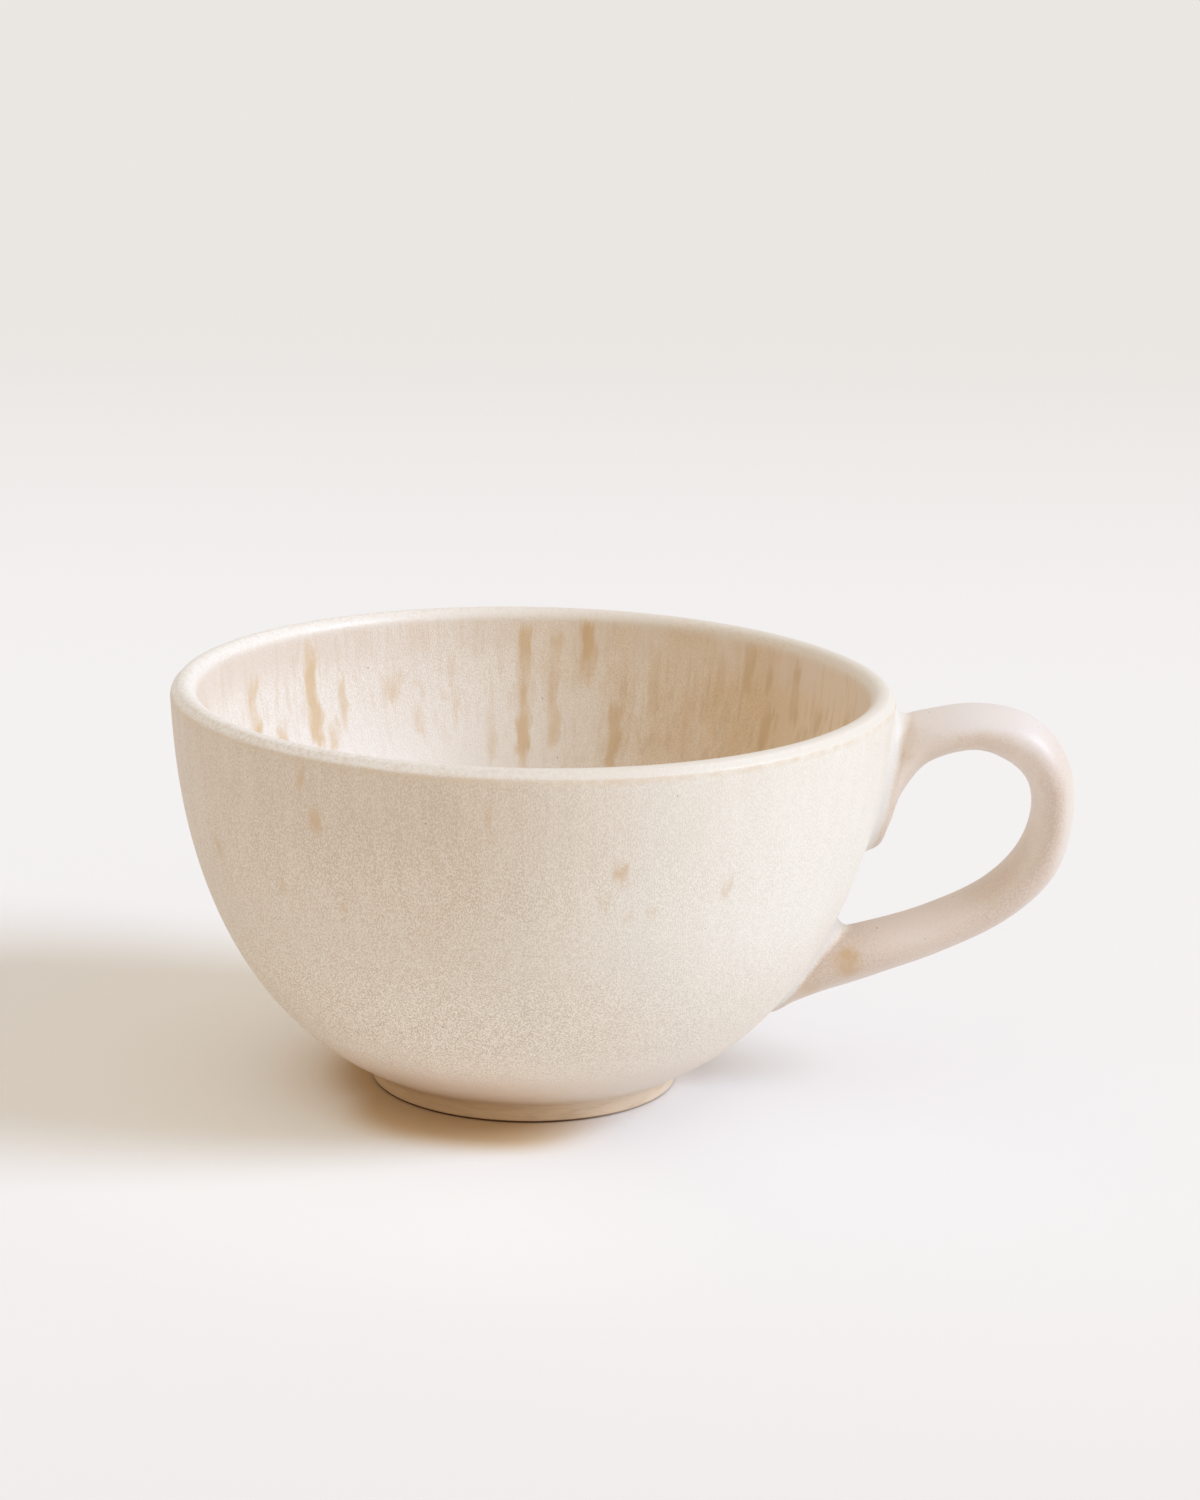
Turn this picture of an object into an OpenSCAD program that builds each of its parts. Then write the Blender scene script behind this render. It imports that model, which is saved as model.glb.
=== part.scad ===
// Cappuccino cup in glazed stoneware: a rounded bowl on a turned foot ring, with one pulled ear
// handle that is luted to the wall with slip, and a glaze coat outside, inside and on the handle.
// Millimetres, +Z up. The origin is the centre of the foot's resting face. The handle points to +X.

/* [Bowl] */
// Diameter over the glazed rim
rim_diameter = 110; // [96:1:124]
// Height from the resting face to the crown of the lip
cup_height = 63.2; // [56:0.1:74]
// Thickness of the glazed lip
lip_thickness = 4; // [3:0.1:5]
// Height of the glazed floor inside the bowl
floor_height = 7; // [5.5:0.1:9]
// How far below the resting face the bowl's outline would end if it ran on under the foot
outline_drop = 0.9; // [0:0.1:2]
// Fullness of the outline, where 1 is a quarter ellipse and less is fuller near the foot
outline_fullness = 0.77; // [0.7:0.01:0.9]
// How far the lip flares out from the outline
lip_flare = 0.45; // [0:0.05:1]

/* [Foot] */
// Diameter of the foot ring
foot_diameter = 47.6; // [42:0.2:54]
// Height of the foot ring, up to the underside of the bowl
foot_height = 2.8; // [2:0.1:3.6]
// Width of the foot ring where it meets the bowl
foot_width = 5.6; // [4:0.1:8]
// Slope of the foot ring's inner wall, measured across
foot_draft = 0.7; // [0.3:0.1:1.2]
// Radius of the foot ring's lower edges
foot_edge_r = 0.5; // [0.3:0.1:1]

/* [Glaze] */
// Thickness of the glaze coat
glaze = 0.5; // [0.3:0.05:0.7]

/* [Handle] */
// How far the middle of the strap stands off the wall at its widest
handle_reach = 28; // [22:0.5:34]
// Glazed thickness of the strap at the top of the ear
handle_thickness = 6.8; // [5.4:0.1:8.4]
// Glazed width of the strap at the top of the ear
handle_width = 12.8; // [10:0.2:16]
// How far the slip collars stand out from the strap at the wall
slip = 1.2; // [0.6:0.1:1.8]

/* [Hidden] */
$fn = 128;

rim_r = rim_diameter / 2;
lip_r = lip_thickness / 2;
inner_rim_r = rim_r - lip_thickness;
shoulder_z = cup_height - lip_r;
foot_r = foot_diameter / 2;
foot_inner_r = foot_r - foot_width;

// Points on a quarter of an outline, on a quarter of the lip and on a rounded edge
wall_steps = 36;
lip_steps = 6;
edge_steps = 5;

// Sharpness of the bend where the lip starts to flare
flare_power = 8;

// Rows of the strap from the upper root to the lower one. The columns are the shares of handle_reach
// off the wall, of cup_height, of handle_thickness and of handle_width, then the share of cup_height by
// which a root spreads along the wall, and the angle of the section from the inside of the ear outwards.
strap_shares = [
    [-0.14, 0.763, 1.03, 1.03, 0.215, 84],
    [0.04, 0.771, 1.03, 1.02, 0.204, 84],
    [0.08, 0.788, 1.03, 1.00, 0.159, 86],
    [0.12, 0.835, 1.03, 0.98, 0.078, 88],
    [0.22, 0.883, 1.03, 0.98, 0.017, 98],
    [0.49, 0.905, 1.02, 1.00, 0, 90],
    [0.75, 0.878, 1.12, 1.00, 0, 55],
    [0.93, 0.798, 1.03, 1.00, 0, 22],
    [1.00, 0.690, 0.99, 1.00, 0, -3],
    [0.99, 0.568, 1.07, 1.00, 0, -31],
    [0.85, 0.468, 1.03, 1.00, 0, -55],
    [0.59, 0.391, 1.05, 1.00, 0, -67],
    [0.32, 0.339, 1.06, 1.00, 0.011, -71],
    [0.13, 0.306, 1.06, 1.02, 0.033, -95],
    [0.01, 0.270, 1.06, 1.04, 0.125, -126],
    [-0.20, 0.316, 1.06, 1.05, 0.133, -126]
];
strap_sides = 24;
rings_per_row = 3;
collar_rings = 7;
last_ring = (len(strap_shares) - 1) * rings_per_row;

// Radius of a bowl outline. The turn runs from 0 at the axis to 90 degrees at the shoulder of the lip.
function outline_radius(turn, top_r) =
    (top_r - lip_flare) * pow(sin(turn), outline_fullness) + lip_flare * pow(1 - cos(turn), flare_power);

// Point of a bowl outline, moved into the wall by depth
function outline_point(turn, top_r, pole_z, depth) =
    let (rise = shoulder_z - pole_z)
    let (climb = 1 - cos(turn))
    let (steep = pow(sin(turn), 2 - outline_fullness))
    let (flare_slope = lip_flare * flare_power * pow(climb, flare_power - 1))
    let (along = [(top_r - lip_flare) * outline_fullness * cos(turn) + flare_slope * steep, rise * steep])
    let (outward = [along.y, -along.x] / norm(along))
    [outline_radius(turn, top_r), pole_z + rise * climb] - depth * outward;

function outer_wall(depth) =
    [for (i = [0 : wall_steps]) outline_point(90 * i / wall_steps, rim_r, -outline_drop, depth)];

// The inside stops one step short of the shoulder, where the lip's arc ends
function inner_wall(depth) =
    [for (i = [0 : wall_steps - 1]) outline_point(90 * i / wall_steps, inner_rim_r, floor_height, -depth)];

// Arc of the lip between two angles, without its first point
function lip_arc(first, last, depth) =
    [for (i = [1 : lip_steps])
        let (angle = first + (last - first) * i / lip_steps)
        [rim_r - lip_r, shoulder_z] + (lip_r - depth) * [cos(angle), sin(angle)]];

// Quarter arc of the foot ring's lower edges
function edge_arc(centre_r, first) =
    [for (i = [0 : edge_steps])
        let (angle = first + 90 * i / edge_steps)
        [centre_r, foot_edge_r] + foot_edge_r * [cos(angle), sin(angle)]];

function reversed(list) = [for (i = [len(list) - 1 : -1 : 0]) list[i]];

// Radius of the glazed wall at a height
function wall_radius(z) =
    outline_radius(acos(1 - (z + outline_drop) / (shoulder_z + outline_drop)), rim_r);

// Row of the strap at a ring, on a smooth curve through the rows
function strap_row(ring) =
    let (place = ring / rings_per_row)
    let (i = min(floor(place), len(strap_shares) - 2))
    let (f = place - i)
    let (b = strap_shares[i])
    let (c = strap_shares[i + 1])
    let (a = i > 0 ? strap_shares[i - 1] : 2 * b - c)
    let (d = i < len(strap_shares) - 2 ? strap_shares[i + 2] : 2 * c - b)
    b + (f * (c - a) + f * f * (2 * a - 5 * b + 4 * c - d) + f * f * f * (3 * (b - c) + d - a)) / 2;

// Oval ring round the strap, grown by a thickness
function strap_ring(ring, growth) =
    let (row = strap_row(ring))
    let (z = row[1] * cup_height)
    let (centre = [wall_radius(z) + row[0] * handle_reach, 0, z])
    let (half_t = (row[2] * handle_thickness + row[4] * cup_height) / 2 + growth)
    let (half_w = row[3] * handle_width / 2 + growth)
    [for (i = [0 : strap_sides - 1])
        let (angle = 360 * i / strap_sides)
        centre + half_t * cos(angle) * [cos(row[5]), 0, sin(row[5])] + [0, half_w * sin(angle), 0]];

function strap_rings(first, last, growth) =
    [for (ring = [first : last]) strap_ring(ring, growth)];

// Rings of a slip collar, which thins out from the root ring to the ring where the glaze starts
function collar_ring_set(root, tip) =
    [for (ring = [min(root, tip) : max(root, tip)])
        strap_ring(ring, slip * pow((ring - tip) / (root - tip), 2))];

upper_tip = collar_rings;
lower_tip = last_ring - collar_rings;
upper_collar = collar_ring_set(0, upper_tip);
lower_collar = collar_ring_set(last_ring, lower_tip);

// Skin through a row of rings, closed on itself like a hollow ring or capped at both ends
module loft(rings, closed = false) {
    sides = len(rings[0]);
    count = len(rings);
    bands = closed ? count : count - 1;
    corners = [for (k = [0 : bands - 1]) for (i = [0 : sides - 1])
        let (next = (i + 1) % sides)
        let (far = (k + 1) % count)
        [k * sides + i, k * sides + next, far * sides + next, far * sides + i]];
    caps = closed ? [] : [
        [for (i = [sides - 1 : -1 : 0]) i],
        [for (i = [0 : sides - 1]) (count - 1) * sides + i]
    ];
    polyhedron(
        points = [for (ring = rings) each ring],
        faces = concat(
            [for (c = corners) [c[0], c[1], c[2]]],
            [for (c = corners) [c[0], c[2], c[3]]],
            caps
        )
    );
}

// Half section of the cup above the foot ring
module above_foot() {
    intersection() {
        children();
        translate([0, foot_height])
            square([rim_r, cup_height]);
    }
}

// The bowl's clay with its inside filled, which trims what is luted to the wall
module filled_bowl() {
    rotate_extrude()
        polygon(concat(outer_wall(glaze), lip_arc(0, 90, glaze), [[0, cup_height - glaze]]));
}

module bowl() {
    color([0.80, 0.71, 0.60])
        rotate_extrude()
            above_foot()
                polygon(concat(
                    outer_wall(glaze),
                    lip_arc(0, 90, glaze),
                    lip_arc(90, 180, glaze),
                    reversed(inner_wall(glaze))
                ));
}

module foot_ring() {
    color([0.76, 0.67, 0.56])
        rotate_extrude()
            polygon(concat(
                edge_arc(foot_r - foot_edge_r, -90),
                [[foot_r, foot_height], [foot_inner_r, foot_height]],
                edge_arc(foot_inner_r + foot_draft + foot_edge_r, 180)
            ));
}

module handle() {
    color([0.80, 0.71, 0.60])
        difference() {
            loft(strap_rings(0, last_ring, -glaze));
            filled_bowl();
        }
}

module upper_joint() {
    color([0.90, 0.88, 0.85])
        difference() {
            loft(concat(upper_collar, reversed(strap_rings(0, upper_tip, -glaze))), closed = true);
            filled_bowl();
        }
}

module lower_joint() {
    color([0.90, 0.88, 0.85])
        difference() {
            loft(concat(lower_collar, reversed(strap_rings(lower_tip, last_ring, -glaze))), closed = true);
            filled_bowl();
        }
}

module outer_glaze() {
    color([0.90, 0.86, 0.79])
        difference() {
            rotate_extrude()
                above_foot()
                    polygon(concat(
                        outer_wall(0),
                        lip_arc(0, 90, 0),
                        reversed(lip_arc(0, 90, glaze)),
                        reversed(outer_wall(glaze))
                    ));
            loft(upper_collar);
            loft(lower_collar);
        }
}

module inner_glaze() {
    color([0.93, 0.89, 0.85])
        rotate_extrude()
            polygon(concat(
                inner_wall(0),
                reversed(lip_arc(90, 180, 0)),
                [[rim_r - lip_r, cup_height], [rim_r - lip_r, cup_height - glaze]],
                lip_arc(90, 180, glaze),
                reversed(inner_wall(glaze))
            ));
}

module handle_glaze() {
    color([0.90, 0.85, 0.80])
        loft(
            concat(
                strap_rings(upper_tip, lower_tip, 0),
                reversed(strap_rings(upper_tip, lower_tip, -glaze))
            ),
            closed = true
        );
}

bowl();
foot_ring();
handle();
upper_joint();
lower_joint();
outer_glaze();
inner_glaze();
handle_glaze();
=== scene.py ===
import math

import bpy
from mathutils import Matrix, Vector


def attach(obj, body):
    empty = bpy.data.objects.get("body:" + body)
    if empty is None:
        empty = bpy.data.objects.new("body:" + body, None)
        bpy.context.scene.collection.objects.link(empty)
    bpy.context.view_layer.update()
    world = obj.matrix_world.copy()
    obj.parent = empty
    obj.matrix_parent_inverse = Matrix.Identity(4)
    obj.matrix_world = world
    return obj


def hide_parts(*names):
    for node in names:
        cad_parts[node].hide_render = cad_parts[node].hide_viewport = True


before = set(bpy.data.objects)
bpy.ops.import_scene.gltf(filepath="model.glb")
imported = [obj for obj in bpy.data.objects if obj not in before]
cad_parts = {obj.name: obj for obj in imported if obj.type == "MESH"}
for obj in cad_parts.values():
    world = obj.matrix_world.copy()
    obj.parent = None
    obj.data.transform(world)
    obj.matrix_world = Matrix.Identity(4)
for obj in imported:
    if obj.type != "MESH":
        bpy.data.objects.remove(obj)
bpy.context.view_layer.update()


# Bowl. It is thrown on the wheel from buff stoneware, and as it dried the handle drew its rim out by
# about a millimetre on that side. Glaze covers it, apart from the bare base inside the foot ring, where
# the turning tool left fine rings.

rim_r, cup_h, lip_r, lip_flare = 0.055, 0.0632, 0.002, 0.00045
floor_z, outline_drop, fullness, flare_power = 0.007, 0.0009, 0.77, 8
coat, base_z = 0.00045, 0.0028
shoulder_z = cup_h - lip_r
lip_centre = (rim_r - lip_r, shoulder_z)
rim_pull, pull_from, pull_power, pull_spread = 0.0011, 0.015, 1.3, 0.42
crease_angle, bowl_turns = 50, 120


def wall_point(turn, top_r, pole_z, depth):
    """A point of the bowl's outline, moved into the wall by depth; the turn goes from 0 to 90 degrees."""
    a = math.radians(turn)
    rise = shoulder_z - pole_z
    climb = 1 - math.cos(a)
    steep = math.sin(a) ** (2 - fullness)
    out = (top_r - lip_flare) * math.sin(a) ** fullness + lip_flare * climb ** flare_power
    flare_slope = lip_flare * flare_power * climb ** (flare_power - 1)
    out_slope = (top_r - lip_flare) * fullness * math.cos(a) + flare_slope * steep
    along = Vector((out_slope, rise * steep)).normalized()
    return out - depth * along.y, pole_z + rise * climb + depth * along.x


def outer_wall(depth, lowest):
    """The outside of the wall, upwards from a height, a point for each degree."""
    points = [wall_point(i, rim_r, -outline_drop, depth) for i in range(91)]
    return [p for p in points if p[1] > lowest]


def inner_wall(depth):
    """The inside of the wall, upwards from the middle of the floor to just under the lip."""
    return [wall_point(90 * i / 80, rim_r - 2 * lip_r, floor_z, -depth) for i in range(79)]


def arc(centre, radius, first, last, steps):
    """Points on part of a circle in the half section, angles in degrees."""
    angles = [math.radians(first + (last - first) * i / steps) for i in range(steps + 1)]
    return [(centre[0] + radius * math.cos(a), centre[1] + radius * math.sin(a)) for a in angles]


def handle_pull(x, y, z):
    """How far the drying handle has drawn the wall out at a place."""
    climb = min(1.0, max(0.0, z - pull_from) / (shoulder_z - pull_from))
    return rim_pull * climb ** pull_power * math.exp(-(math.atan2(y, x) / pull_spread) ** 2)


def throw(name, section, turns):
    """Draws a half section point by point, spins it round the wheel's axis and lets the handle pull it."""
    bpy.ops.object.select_all(action="DESELECT")
    bpy.ops.mesh.primitive_plane_add(size=0.001)
    piece = bpy.context.object
    piece.name = name
    bpy.ops.object.mode_set(mode="EDIT")
    bpy.ops.mesh.merge(type="CENTER")
    pen = Vector((0, 0, 0))
    for count, (out, up) in enumerate(section):
        step = Vector((out, 0, up)) - pen
        if count == 0:
            bpy.ops.transform.translate(value=step)
        else:
            bpy.ops.mesh.extrude_region_move(TRANSFORM_OT_translate={"value": step})
        pen += step
    bpy.ops.mesh.select_all(action="SELECT")
    bpy.ops.mesh.spin(steps=turns, angle=2 * math.pi, center=(0, 0, 0), axis=(0, 0, 1))
    bpy.ops.mesh.select_all(action="SELECT")
    bpy.ops.mesh.remove_doubles(threshold=1e-6)
    bpy.ops.mesh.normals_make_consistent(inside=False)
    bpy.ops.object.mode_set(mode="OBJECT")
    for vertex in piece.data.vertices:
        across = math.hypot(vertex.co.x, vertex.co.y)
        if across > coat:
            stretch = 1 + handle_pull(*vertex.co) / across
            vertex.co.x *= stretch
            vertex.co.y *= stretch
    bpy.ops.object.shade_smooth_by_angle(angle=math.radians(crease_angle))
    return piece


def shader_node(tree, kind, sockets=None, **settings):
    """Adds one node. Sockets are given by name or number, each with a value or a socket to link."""
    made = tree.nodes.new("ShaderNode" + kind)
    for key, value in settings.items():
        setattr(made, key, value)
    for key, value in (sockets or {}).items():
        if isinstance(value, bpy.types.NodeSocket):
            tree.links.new(value, made.inputs[key])
        else:
            made.inputs[key].default_value = value
    return made


def fired_material(name):
    """A new material with a Principled shader, and the Object coordinates that its patterns read."""
    made = bpy.data.materials.new(name)
    made.use_nodes = True
    tree = made.node_tree
    tree.nodes.clear()
    shader = shader_node(tree, "BsdfPrincipled")
    shader_node(tree, "OutputMaterial", {"Surface": shader.outputs["BSDF"]})
    return made, tree, shader, shader_node(tree, "TexCoord").outputs["Object"]


def effect(name, inputs, outputs):
    """Starts a shader node group. Its sockets are given as name and kind."""
    made = bpy.data.node_groups.new(name, "ShaderNodeTree")
    for way, sockets in (("INPUT", inputs), ("OUTPUT", outputs)):
        for socket, kind in sockets:
            made.interface.new_socket(socket, in_out=way, socket_type="NodeSocket" + kind)
    return made, made.nodes.new("NodeGroupInput").outputs, made.nodes.new("NodeGroupOutput").inputs


def blend(tree, amount, low, high, kind="RGBA"):
    """Mixes two colours by a mask, or two values."""
    return shader_node(tree, "Mix", {"Factor": amount, "A": low, "B": high}, data_type=kind).outputs["Result"]


def measure(tree, operation, *values):
    """One step of arithmetic on masks or lengths."""
    return shader_node(tree, "Math", dict(enumerate(values)), operation=operation).outputs[0]


def times(tree, first, second):
    """One mask or length times another."""
    return measure(tree, "MULTIPLY", first, second)


def flattened(tree, place):
    """A place without its height."""
    return shader_node(tree, "VectorMath", {0: place, 1: (1, 1, 0)}, operation="MULTIPLY").outputs["Vector"]


def pointing(tree, direction, way):
    """How much a direction or a place goes one way."""
    return shader_node(tree, "VectorMath", {0: direction, 1: way}, operation="DOT_PRODUCT").outputs["Value"]


def length_of(tree, place):
    """How far a place lies from the middle."""
    return shader_node(tree, "VectorMath", {0: place}, operation="LENGTH").outputs["Value"]


def height_of(tree, place):
    """How high a place lies."""
    return shader_node(tree, "SeparateXYZ", {"Vector": place}).outputs["Z"]


def press(tree, shader, relief, strength, depth):
    """Gives a surface its fine relief."""
    bump = shader_node(tree, "Bump", {"Strength": strength, "Distance": depth, "Height": relief})
    tree.links.new(bump.outputs["Normal"], shader.inputs["Normal"])


def ramp(tree, value, low, high, to_low=0.0, to_high=1.0):
    """A soft step of a value between two limits."""
    return shader_node(tree, "MapRange", {
        "Value": value, "From Min": low, "From Max": high, "To Min": to_low, "To Max": to_high,
    }, interpolation_type="SMOOTHSTEP").outputs["Result"]


def noise(tree, place, scale, detail, stretch=(1, 1, 1)):
    """Cloudy noise, drawn out where the stretch is less than 1."""
    drawn = shader_node(tree, "VectorMath", {0: place, 1: stretch}, operation="MULTIPLY").outputs["Vector"]
    return shader_node(tree, "TexNoise", {
        "Vector": drawn, "Scale": scale, "Detail": detail, "Roughness": 0.55,
    }).outputs["Fac"]


# Fine dark iron specks that burn through clay and glaze in the kiln.
iron_specks, given, put = effect(
    "iron_specks", [("Vector", "Vector"), ("Scale", "Float"), ("Rarity", "Float")], [("Mask", "Float")])
cells = shader_node(iron_specks, "TexVoronoi", {
    "Vector": given["Vector"], "Scale": given["Scale"], "Randomness": 1.0,
}, feature="F1")
chance = shader_node(iron_specks, "SeparateColor", {"Color": cells.outputs["Color"]}).outputs
chosen = measure(iron_specks, "GREATER_THAN", chance["Red"], given["Rarity"])
speck_r = measure(iron_specks, "MULTIPLY_ADD", chance["Green"], 0.05, 0.035)
inward = measure(iron_specks, "DIVIDE", cells.outputs["Distance"], speck_r)
iron_specks.links.new(times(iron_specks, chosen, ramp(iron_specks, inward, 1.0, 0.55)), put["Mask"])


def specks_at(tree, place, scale, rarity):
    """The iron specks of a surface."""
    return shader_node(tree, "Group", {
        "Vector": place, "Scale": scale, "Rarity": rarity,
    }, node_tree=iron_specks).outputs["Mask"]


buff, pale_buff, rubbed_buff = (0.46, 0.34, 0.235, 1), (0.66, 0.535, 0.41, 1), (0.72, 0.60, 0.47, 1)
clay_speck, toasted_brown_and_contact_shade = (0.12, 0.07, 0.04, 1), (0.12, 0.052, 0.02, 1)
clay, tree, shader, place = fired_material("buff_stoneware")
across = flattened(tree, place)
radius = length_of(tree, across)
height = height_of(tree, place)
grog = noise(tree, place, 900, 5)
tool_rings = noise(tree, shader_node(tree, "CombineXYZ", {"X": radius}).outputs["Vector"], 1500, 3)
colour = blend(tree, grog, buff, pale_buff)
colour = blend(tree, ramp(tree, tool_rings, 0.45, 0.7, 0, 0.35), colour, rubbed_buff)
colour = blend(tree, specks_at(tree, place, 600, 0.55), colour, clay_speck)
lit_side = pointing(tree, across, (1, 0, 0))
# The dark line at the resting edge is toasted bare clay and painted contact shade, weaker towards the lamp.
toasted_and_contact_shade = times(tree, ramp(tree, height, 0.0005, 0.0003), ramp(tree, radius, 0.0228, 0.0235))
toasted_and_contact_shade = times(tree, toasted_and_contact_shade, ramp(tree, lit_side, 0.018, 0.004, 0.25, 1.0))
tree.links.new(blend(tree, toasted_and_contact_shade, colour, toasted_brown_and_contact_shade), shader.inputs["Base Color"])
shader.inputs["Roughness"].default_value = 0.85
press(tree, shader, measure(tree, "MULTIPLY_ADD", tool_rings, 1.6, grog), 0.5, 0.00012)

bare_base = [(0, 0.0031), (0.006, 0.00312), (0.0115, 0.003), (0.0165, 0.00286), (0.0225, base_z)]
bowl_section = (
    bare_base
    + outer_wall(coat, base_z + 0.0003)[::3]
    + arc(lip_centre, lip_r - coat, 0, 180, 8)
    + inner_wall(coat)[::-4]
    + [(0, floor_z - coat)]
)
bowl = throw("thrown_bowl", bowl_section, bowl_turns)
bowl.data.materials.append(clay)
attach(bowl, "root")
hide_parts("bowl")


# Foot ring. It is turned out of the bowl's base when the clay is leather-hard. Its wall is glazed with
# the bowl, and its resting edge is wiped back to bare clay, which the kiln toasts to a dark line. That line
# is also darkened as painted contact shade, fainter on the side towards the lamp.

foot_r, foot_in_r, foot_top = 0.02372, 0.0187, 0.0029
foot_edge, foot_inner_edge, foot_turns = 0.0003, 0.0005, 192
foot_top_in_r, foot_cut_r, foot_cut_z = foot_in_r - 0.0006, foot_in_r - 0.0001, foot_top - 0.0014
foot_section = (
    [(foot_top_in_r, foot_top), (foot_cut_r, foot_cut_z)]
    + arc((foot_in_r + foot_inner_edge, foot_inner_edge), foot_inner_edge, 180, 270, 6)
    + arc((foot_r - foot_edge, foot_edge), foot_edge, 270, 360, 6)
    + [(foot_r, foot_top), (foot_top_in_r, foot_top)]
)
foot = throw("turned_foot", foot_section, foot_turns)
foot.data.materials.append(clay)
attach(foot, "root")
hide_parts("foot_ring")


# Glaze coat of the bowl. The bowl is dipped, so one coat of satin reactive glaze runs from the foot
# over the lip and down to the floor inside. Pale crystals grew in it on a beige ground, and where it
# ran thin it broke to ochre streaks.

ridge, crown, coat_turns = 25, 62, 240
face_from, back_from, back_r = 0.00315, 0.0035, 0.02352
foot_fillet = [
    (0.02366, 0.0003), (0.02377, 0.00038), (0.0238, 0.0006), (0.0238, 0.0012), (0.02382, 0.0017),
    (0.0239, 0.00212), (0.0241, 0.00248), (0.02438, 0.0028),
]
lip_low, lip_high = arc(lip_centre, lip_r, ridge, crown, 1)
bevel = [
    tuple(low + (high - low) * share for low, high in zip(lip_low, lip_high))
    for share in (0.0, 0.05, 0.1, 0.5, 0.9, 0.95)
]
coat_section = (
    foot_fillet
    + outer_wall(0, face_from)
    + arc(lip_centre, lip_r, 0, ridge, 3)[1:-1]
    + bevel
    + arc(lip_centre, lip_r, crown, 180, 15)
    + inner_wall(0)[::-1]
    + [(0, floor_z - coat)]
    + inner_wall(coat)[4::5]
    + arc(lip_centre, lip_r - coat, 180, 0, 8)
    + outer_wall(coat, back_from)[::-5]
    + [(back_r, 0.003), (back_r, 0.0004)]
    + foot_fillet[:1]
)
glaze_coat = throw("glaze_coat", coat_section, coat_turns)

# How far along the section each point lies: 0 at the foot, 1 on the crown of the lip, 2 on the floor
middle_from, inside_from = 0.003, 0.0045
glaze_coat.data.attributes.new("section", "FLOAT", "POINT")
for vertex, mark in zip(glaze_coat.data.vertices, glaze_coat.data.attributes["section"].data):
    x, y, z = vertex.co
    turn = math.acos(max(0.0, min(1.0, 1 - (z - middle_from) / (shoulder_z - middle_from))))
    middle = (rim_r - lip_r) * math.sin(turn) ** fullness
    inside = math.hypot(x, y) - handle_pull(x, y, z) < middle and z > inside_from
    mark.value = 2 - z / cup_h if inside else z / cup_h

# Pale crystals: a fine grain that the glaze's own flow draws out down the wall.
crystal_grain, given, put = effect(
    "crystal_grain", [("Vector", "Vector"), ("Scale", "Float"), ("Drawn Out", "Float")], [("Grain", "Float")])
squeeze = measure(crystal_grain, "DIVIDE", 1.0, given["Drawn Out"])
axes = shader_node(crystal_grain, "CombineXYZ", {"X": 1.0, "Y": 1.0, "Z": squeeze}).outputs["Vector"]
fine = noise(crystal_grain, given["Vector"], given["Scale"], 1, axes)
coarse = noise(crystal_grain, given["Vector"], times(crystal_grain, given["Scale"], 0.5), 1, axes)
flakes = measure(crystal_grain, "MULTIPLY_ADD", fine, 0.82, times(crystal_grain, coarse, 0.18))
crystal_grain.links.new(ramp(crystal_grain, flakes, 0.44, 0.56), put["Grain"])


def crystals_at(tree, place, scale, drawn_out):
    """The crystal grain of a surface."""
    return shader_node(tree, "Group", {
        "Vector": place, "Scale": scale, "Drawn Out": drawn_out,
    }, node_tree=crystal_grain).outputs["Grain"]


def heading(tree, place):
    """The direction in which a place lies from the middle."""
    return shader_node(tree, "VectorMath", {0: place}, operation="NORMALIZE").outputs["Vector"]


# Outside of the bowl: beige ground that is creamier towards the handle and the lamp, and crystals that fade
# out above the foot, where the ground turns pinkish. The cream on the lit side and the beige on the shaded
# side are partly painted light and shade.
beige, cream_ground = (0.65, 0.52, 0.40, 1), (0.79, 0.735, 0.645, 1)
low_pink, low_cream = (0.85, 0.68, 0.56, 1), (0.81, 0.70, 0.595, 1)
beige_flake, cream_flake = (0.86, 0.795, 0.69, 1), (0.915, 0.89, 0.825, 1)
low_beige_flake, low_cream_flake = (0.93, 0.86, 0.75, 1), (0.91, 0.85, 0.75, 1)
cream_glaze, given, put = effect(
    "cream_glaze", [("Vector", "Vector")], [("Color", "Color"), ("Grain", "Float")])
place = given["Vector"]
height = height_of(cream_glaze, place)
round_cup = heading(cream_glaze, flattened(cream_glaze, place))
# The creamier side faces the lamp: partly painted cool light, with painted warm shade on the far side.
towards_lamp_and_handle = pointing(cream_glaze, round_cup, (0.97, -0.24, 0))
cloud = noise(cream_glaze, place, 45, 4)
creamier_towards_lamp = ramp(cream_glaze, measure(cream_glaze, "MULTIPLY_ADD", cloud, 0.5, towards_lamp_and_handle), 0.16, 1.12)
round_grain = crystals_at(cream_glaze, place, 5000, 1.1)
long_grain = crystals_at(cream_glaze, place, 5600, 1.9)
grains = blend(cream_glaze, ramp(cream_glaze, height, 0.024, 0.046), round_grain, long_grain, "FLOAT")
high_fade = ramp(cream_glaze, height, 0.058, 0.030, 0.5, 1.0)
low_fade = ramp(cream_glaze, height, 0.0075, 0.0135, 0.12, 1.0)
crystals = times(cream_glaze, grains, times(cream_glaze, high_fade, low_fade))
deeper = times(cream_glaze, creamier_towards_lamp, ramp(cream_glaze, height, 0.016, 0.040, 0.55, 1.0))
ground = blend(cream_glaze, deeper, beige, cream_ground)
flake = blend(cream_glaze, creamier_towards_lamp, beige_flake, cream_flake)
low_flake = blend(cream_glaze, creamier_towards_lamp, low_beige_flake, low_cream_flake)
flake = blend(cream_glaze, ramp(cream_glaze, height, 0.036, 0.018), flake, low_flake)
threads = noise(cream_glaze, place, 420, 3, (1, 1, 0.12))
ground = blend(cream_glaze, ramp(cream_glaze, threads, 0.42, 0.66, 0, 0.16), ground, flake)
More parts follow.
